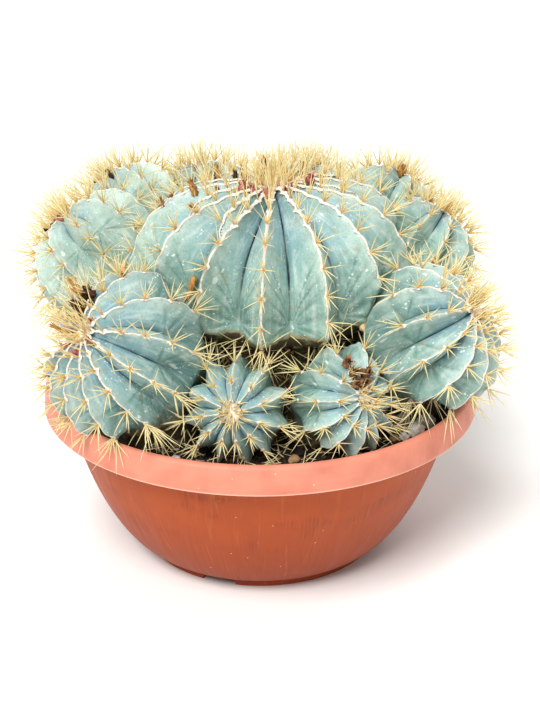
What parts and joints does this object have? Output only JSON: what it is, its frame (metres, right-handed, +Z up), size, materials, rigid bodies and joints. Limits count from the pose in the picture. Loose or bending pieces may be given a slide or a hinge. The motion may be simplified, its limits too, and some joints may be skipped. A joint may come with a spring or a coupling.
{
  "type": "potted round cactus",
  "caption": "Clump of round ribbed barrel cactus with yellow spines, growing in potting soil in a wide round plastic bowl with a rolled rim and a notched foot ring.",
  "frame": {"origin": "middle of the footprint box, on the surface the bowl stands on", "axes": "+Z up, front (the side with the two lowest small heads) along -Y, +X to the right seen from the front"},
  "size_m": [0.525, 0.5018, 0.4142],
  "materials": {
    "bowl_plastic": "satin moulded plastic, terracotta-coloured, with faint water streaks",
    "potting_soil": "dark brown peat mix, rough and crumbly",
    "cactus_stem": "waxy blue-green skin, matte, with pale specks",
    "spines_and_felt": "golden to straw-yellow spines on cream-white felt",
    "withered_flower": "dry, shrivelled, brown",
    "stone": "rough natural stone, grey to pale"
  },
  "bodies": {
    "root": {"pot": "bowl_plastic", "soil": "potting_soil", "stem_main": "cactus_stem", "stem_left_front": "cactus_stem", "stem_right_front": "cactus_stem", "stem_left_back": "cactus_stem", "stem_right_back": "cactus_stem", "stem_back_left": "cactus_stem", "stem_back_right": "cactus_stem", "stem_back_mid_left": "cactus_stem", "stem_back_mid_right": "cactus_stem", "stem_front_left_pup": "cactus_stem", "stem_front_right_pup": "cactus_stem", "stem_back_pup": "cactus_stem", "stem_left_pup": "cactus_stem", "stem_right_pup": "cactus_stem", "spines_main": "spines_and_felt", "spines_left_front": "spines_and_felt", "spines_right_front": "spines_and_felt", "spines_left_back": "spines_and_felt", "spines_right_back": "spines_and_felt", "spines_back_left": "spines_and_felt", "spines_back_right": "spines_and_felt", "spines_back_mid_left": "spines_and_felt", "spines_back_mid_right": "spines_and_felt", "spines_front_left_pup": "spines_and_felt", "spines_front_right_pup": "spines_and_felt", "spines_back_pup": "spines_and_felt", "spines_left_pup": "spines_and_felt", "spines_right_pup": "spines_and_felt", "withered_flower_main_left": "withered_flower", "withered_flower_main_upper": "withered_flower", "withered_flower_main_back": "withered_flower", "withered_flower_left_front": "withered_flower", "withered_flower_front_right_pup": "withered_flower", "grey_stone_large": "stone", "grey_stone_small": "stone", "pale_stone": "stone", "brown_pebble": "stone", "perlite_grain": "stone"}
  },
  "joints": []
}
